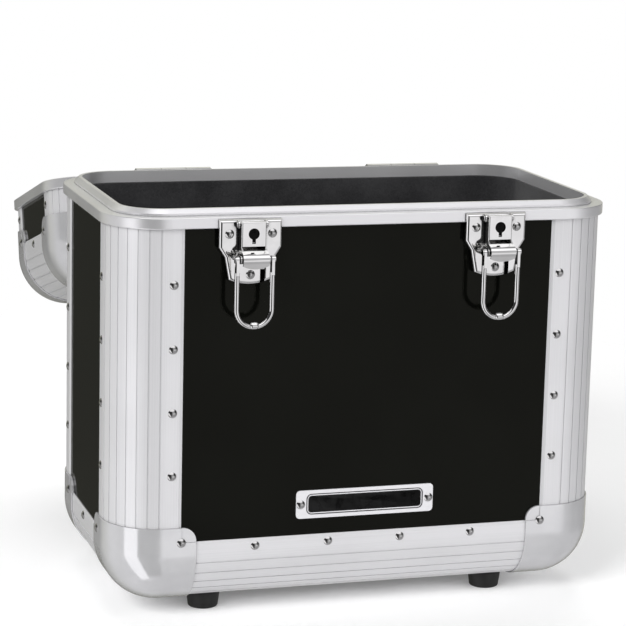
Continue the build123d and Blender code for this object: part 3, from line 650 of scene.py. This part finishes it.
def soft_pieces():
    """The linings and pads of the body, and those of the lid where it lies open."""
    here, lid = Matrix.Identity(4), lid_matrix()
    body_top, pad_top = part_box("body_lining")[1].z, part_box("floor_pad")[1].z
    lid_top, lid_pad_top = lid_height + 0.5 * MM, 15 * MM
    lining_piece("body_lining_cloth", "case_body", "body_lining", BODY_WALL, body_top, here)
    lining_piece("lid_lining_cloth", "lid", "lid_lining", LID_WALL, lid_top, lid)
    pad_piece("floor_foam", "case_body", "floor_pad", BODY_WALL, pad_top, here)
    pad_piece("lid_foam", "lid", "lid_pad", LID_WALL, lid_pad_top, lid)


# ------------------------------------------------------------------ name plate

# Half width, half height and corner radius of the plate's sunk field.
PLATE_FIELD = (44.6 * MM, 7.7 * MM, 3.8 * MM)
KEYLINE_MARGIN = 0.6 * MM
KEYLINE_WIDTH = 0.8 * MM
# How far the front and back of the trim lie behind the plate's face.
ENAMEL_DEPTHS = (0.10 * MM, 0.29 * MM)
KEYLINE_DEPTHS = (0.04 * MM, 0.12 * MM)


def upright_loop(size, y):
    """A rounded rectangle that stands upright and faces the front."""
    half_x, half_z, radius = size
    flat = rounded_loop(half_x, half_z, radius, 0, arc=6, long_steps=8, short_steps=4)
    return [Vector((p.x, y, p.y)) for p in flat]


def name_plate_trim():
    """Black enamel in the plate's sunk field and a bright keyline in it, with no lettering."""
    low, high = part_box("name_plate")
    centre = Matrix.Translation((0, 0, (low.z + high.z) / 2))
    front, back = (low.y + depth for depth in ENAMEL_DEPTHS)
    slab = [upright_loop(PLATE_FIELD, y) for y in (back, front)]
    enamel_mesh = loft("plate_enamel", slab, close_ends=True)

    front, back = (low.y + depth for depth in KEYLINE_DEPTHS)
    outside = tuple(v - KEYLINE_MARGIN for v in PLATE_FIELD)
    inside = tuple(v - KEYLINE_WIDTH for v in outside)
    edges = ((outside, back), (outside, front), (inside, front), (inside, back), (outside, back))
    keyline_mesh = loft("plate_keyline", [upright_loop(size, y) for size, y in edges])

    for mesh, finish in ((enamel_mesh, "enamel"), (keyline_mesh, "plate")):
        mesh.transform(centre)
        new_piece(mesh.name, mesh, finish, "case_body")


# ------------------------------------------------------------------ floor

FLOOR_REACH = 1.6
FLOOR_FADE = (0.45, 1.0)  # how far from the middle the floor starts and ends fading out
FLOOR_STRETCH = (1, 0.8, 1)
CAMERA_GLOW = 0.16
BOUNCE_FRONT, BOUNCE_REAR = 0.5, 0.2  # plain light sent up onto the case
BOUNCE_FADE = (0.0, 0.35)  # where along y the front's gives way to the rear's


def floor_material():
    """Pale floor that keeps the case's shadow, white to the camera and fading out around it."""
    paint = Paint("studio_floor", Roughness=0.9, Specular_IOR_Level=0.1)
    cloud = paint.noise(paint.place(), 3, detail=3)
    pale = paint.tint(paint.spread(cloud, 0, 1), (0.86, 0.86, 0.86), (0.88, 0.88, 0.88))
    paint.feed(Base_Color=pale)

    path = paint.node("ShaderNodeLightPath").outputs
    _, y, _ = paint.split(paint.place())
    bounce = paint.spread(y, BOUNCE_FRONT, BOUNCE_REAR, *BOUNCE_FADE)
    seen = paint.math("MULTIPLY", path["Is Camera Ray"], CAMERA_GLOW)
    bounced = paint.math("MULTIPLY", path["Is Diffuse Ray"], bounce)
    glow = paint.node("ShaderNodeEmission")
    glow.inputs["Color"].default_value = (1, 1, 1, 1)
    paint.put(glow.inputs["Strength"], paint.math("ADD", seen, bounced))
    lit = paint.node("ShaderNodeAddShader")
    paint.put(lit.inputs[0], paint.shader.outputs["BSDF"])
    paint.put(lit.inputs[1], glow.outputs["Emission"])

    reach = paint.node("ShaderNodeVectorMath", operation="LENGTH")
    paint.put(reach.inputs[0], paint.place(FLOOR_STRETCH))
    faded = paint.spread(reach.outputs["Value"], 0, 1, *FLOOR_FADE)
    gone = paint.math("MAXIMUM", faded, path["Is Glossy Ray"])
    clear = paint.node("ShaderNodeBsdfTransparent").outputs["BSDF"]
    surface = paint.choose(gone, lit.outputs["Shader"], clear)
    paint.put(paint.nodes["Material Output"].inputs["Surface"], surface)
    return paint.material


def studio_floor():
    """The plain floor that the feet stand on."""
    mesh = bpy.data.meshes.new("studio_floor")
    signs = ((-1, -1), (1, -1), (1, 1), (-1, 1))
    corners = [(x * FLOOR_REACH, y * FLOOR_REACH, floor_level) for x, y in signs]
    mesh.from_pydata(corners, [], [(0, 1, 2, 3)])
    floor = bpy.data.objects.new("studio_floor", mesh)
    bpy.context.scene.collection.objects.link(floor)
    mesh.materials.append(floor_material())


# ------------------------------------------------------------------ world

# What the metal mirrors, by bearing in degrees from the front (right is positive): the pale
# table below the horizon, the dim room above it with its lit gaps, and the softboxes overhead.
TABLE_GREYS = [
    (-180, 0.08), (-158, 0.08), (-142, 0.34), (-112, 0.42), (-84, 0.32), (-46, 0.04),
    (-6, 0.04), (6, 0.88), (40, 0.92), (60, 0.45), (80, 0.25), (118, 0.25), (140, 0.45),
    (180, 0.10),
]
ROOM_GREYS = [
    (-180, 0.20), (-140, 0.40), (-118, 0.05), (-78, 0.04), (-34, 0.04), (-12, 0.05),
    (4, 0.45), (30, 0.55), (44, 0.40), (54, 0.05), (118, 0.05), (140, 0.40), (165, 0.40),
    (180, 0.20),
]
OVERHEAD_GREYS = [
    (-180, 0.80), (-150, 0.90), (-120, 0.20), (-80, 0.10), (-58, 1.30), (48, 1.40),
    (78, 0.25), (120, 0.30), (150, 0.85), (180, 0.80),
]

# Close to the case the table is one grey in front, another behind and a third straight down.
NEAR_TABLE_GREY, REAR_TABLE_GREY, UNDERSIDE_GREY = 0.45, 0.14, 0.52

# A dark gap in that table and a bright strip light at its left, which lean as they go down.
GAP_GREY, GAP_BEARINGS = 0.13, (-52, -46, -12, -4)
STRIP_GREY, STRIP_BEARINGS = 1.25, (-80, -77, -50, -47)
STRIP_HEIGHTS = (-0.93, -0.90, -0.05, 0.02)
LEAN, LEAN_HEIGHT = 28, -0.28

# Where each part gives way to the next: heights are z and front to rear is y, both of the
# mirrored ray's direction.
UNDERSIDE_TO_NEAR = (-0.92, -0.80)
NEAR_TO_TABLE = (-0.42, -0.22)
TABLE_TO_ROOM = (-0.03, 0.05)
ROOM_TO_OVERHEAD = (0.54, 0.62)
TABLE_FRONT_TO_REAR = (0.35, 0.85)
TINT_FRONT_TO_REAR = (0.35, 0.80)

# The light from behind is a little yellower than the light in front.
FRONT_TINT, REAR_TINT = (0.995, 0.985, 1.01, 1), (1.02, 1.02, 0.86, 1)

WHITE_TO_CAMERA = 1.0
PLAIN_LIGHT = 0.40


class Sky(Tree):
    """The world's node tree, and the greys of a studio in it."""

    def greys(self, bearing, stops):
        """Greys from 0 to 2 by bearing, eased from stop to stop."""
        turn, brightest = 360, 2
        made = self.node("ShaderNodeValToRGB")
        made.color_ramp.interpolation = "EASE"
        for position, _ in stops[1:-1]:
            made.color_ramp.elements.new(position / turn + 0.5)
        for element, (position, grey) in zip(made.color_ramp.elements, stops):
            element.position = position / turn + 0.5
            element.color = (grey / brightest, grey / brightest, grey / brightest, 1)
        share = self.math("ADD", self.math("DIVIDE", bearing, turn), 0.5)
        self.put(made.inputs["Fac"], share)
        return self.math("MULTIPLY", made.outputs["Color"], brightest)

    def band(self, value, stops):
        """1 between the two middle stops, fading to 0 at the outer ones."""
        rise = self.spread(value, 0, 1, *stops[:2])
        fall = self.spread(value, 1, 0, *stops[2:])
        return self.math("MULTIPLY", rise, fall)

    def light(self, strength, colour=(1, 1, 1, 1)):
        made = self.node("ShaderNodeBackground")
        self.put(made.inputs["Color"], colour)
        self.put(made.inputs["Strength"], strength)
        return made.outputs["Background"]


def mirrored_studio(sky):
    """The light that glossy rays find, by the direction in which they go."""
    x, y, z = sky.split(sky.node("ShaderNodeTexCoord").outputs["Generated"])
    bearing = sky.math("DEGREES", sky.math("ARCTAN2", x, sky.math("MULTIPLY", y, -1)))
    lean = sky.math("MULTIPLY", sky.math("SUBTRACT", z, LEAN_HEIGHT), LEAN)
    leaned = sky.math("ADD", bearing, lean)

    to_rear = sky.spread(y, 0, 1, *TABLE_FRONT_TO_REAR)
    near_table = sky.mix(NEAR_TABLE_GREY, REAR_TABLE_GREY, to_rear)
    near_table = sky.mix(near_table, GAP_GREY, sky.band(leaned, GAP_BEARINGS))
    grey = UNDERSIDE_GREY
    for above, heights in (
        (near_table, UNDERSIDE_TO_NEAR),
        (sky.greys(bearing, TABLE_GREYS), NEAR_TO_TABLE),
        (sky.greys(bearing, ROOM_GREYS), TABLE_TO_ROOM),
        (sky.greys(bearing, OVERHEAD_GREYS), ROOM_TO_OVERHEAD),
    ):
        grey = sky.mix(grey, above, sky.spread(z, 0, 1, *heights))
    strip = sky.math("MULTIPLY", sky.band(leaned, STRIP_BEARINGS), sky.band(z, STRIP_HEIGHTS))
    grey = sky.mix(grey, STRIP_GREY, strip)

    behind = sky.spread(y, 0, 1, *TINT_FRONT_TO_REAR)
    return sky.light(grey, sky.mix(FRONT_TINT, REAR_TINT, behind, data_type="RGBA"))


def studio_world():
    """White behind the case, a plain even light on it, and a studio for the metal to mirror."""
    world = bpy.data.worlds.new("studio")
    bpy.context.scene.world = world
    world.use_nodes = True
    world.cycles.sampling_method = "NONE"  # the surfaces' own rays find it well enough
    sky = Sky(world.node_tree)
    sky.nodes.clear()
    path = sky.node("ShaderNodeLightPath").outputs
    surface = sky.choose(path["Is Glossy Ray"], sky.light(PLAIN_LIGHT), mirrored_studio(sky))
    surface = sky.choose(path["Is Camera Ray"], surface, sky.light(WHITE_TO_CAMERA))
    sky.put(sky.node("ShaderNodeOutputWorld").inputs["Surface"], surface)


# ------------------------------------------------------------------ lamps and camera

# Name, place, the point it aims at, its two sides and its power.
LAMPS = [
    ("key", (-1.8, -1.5, 1.6), (0, 0, 0.12), (1.3, 1.3), 58),
    ("fill", (1.9, -1.3, 1.1), (0, 0, 0.15), (1.0, 1.4), 16),
    ("top", (0.1, 0.9, 2.1), (0, 0, 0.10), (1.6, 1.2), 20),
]

# Fitted to the photograph's corners, rivets, feet and rim.
CAMERA_PLACE = (-0.53735, -1.70139, 0.55500)
CAMERA_TURN = (78.49843, -1.37272, -16.89554)
CAMERA_LENS, CAMERA_SENSOR = 137.53, 36
CAMERA_CLIP = (0.05, 50)


def soft_lamp(name, place, aim, sides, power):
    """A softbox that lights the case and isn't seen in the metal."""
    data = bpy.data.lights.new(name, "AREA")
    data.shape = "RECTANGLE"
    data.size, data.size_y = sides
    data.energy = power
    lamp = bpy.data.objects.new(name, data)
    bpy.context.scene.collection.objects.link(lamp)
    lamp.location = place
    lamp.visible_glossy = False
    lamp.rotation_euler = (Vector(aim) - Vector(place)).to_track_quat("-Z", "Y").to_euler()


def photo_camera():
    """The viewpoint from which the photograph was taken."""
    data = bpy.data.cameras.new("photo_camera")
    data.lens = CAMERA_LENS
    data.sensor_width = CAMERA_SENSOR
    data.clip_start, data.clip_end = CAMERA_CLIP
    camera = bpy.data.objects.new("photo_camera", data)
    bpy.context.scene.collection.objects.link(camera)
    camera.location = CAMERA_PLACE
    camera.rotation_euler = [math.radians(angle) for angle in CAMERA_TURN]
    bpy.context.scene.camera = camera


# ------------------------------------------------------------------ the scene

dress_nodes()
soft_pieces()
name_plate_trim()
studio_floor()
studio_world()
for lamp in LAMPS:
    soft_lamp(*lamp)
photo_camera()
bpy.context.scene.view_settings.view_transform = "Standard"
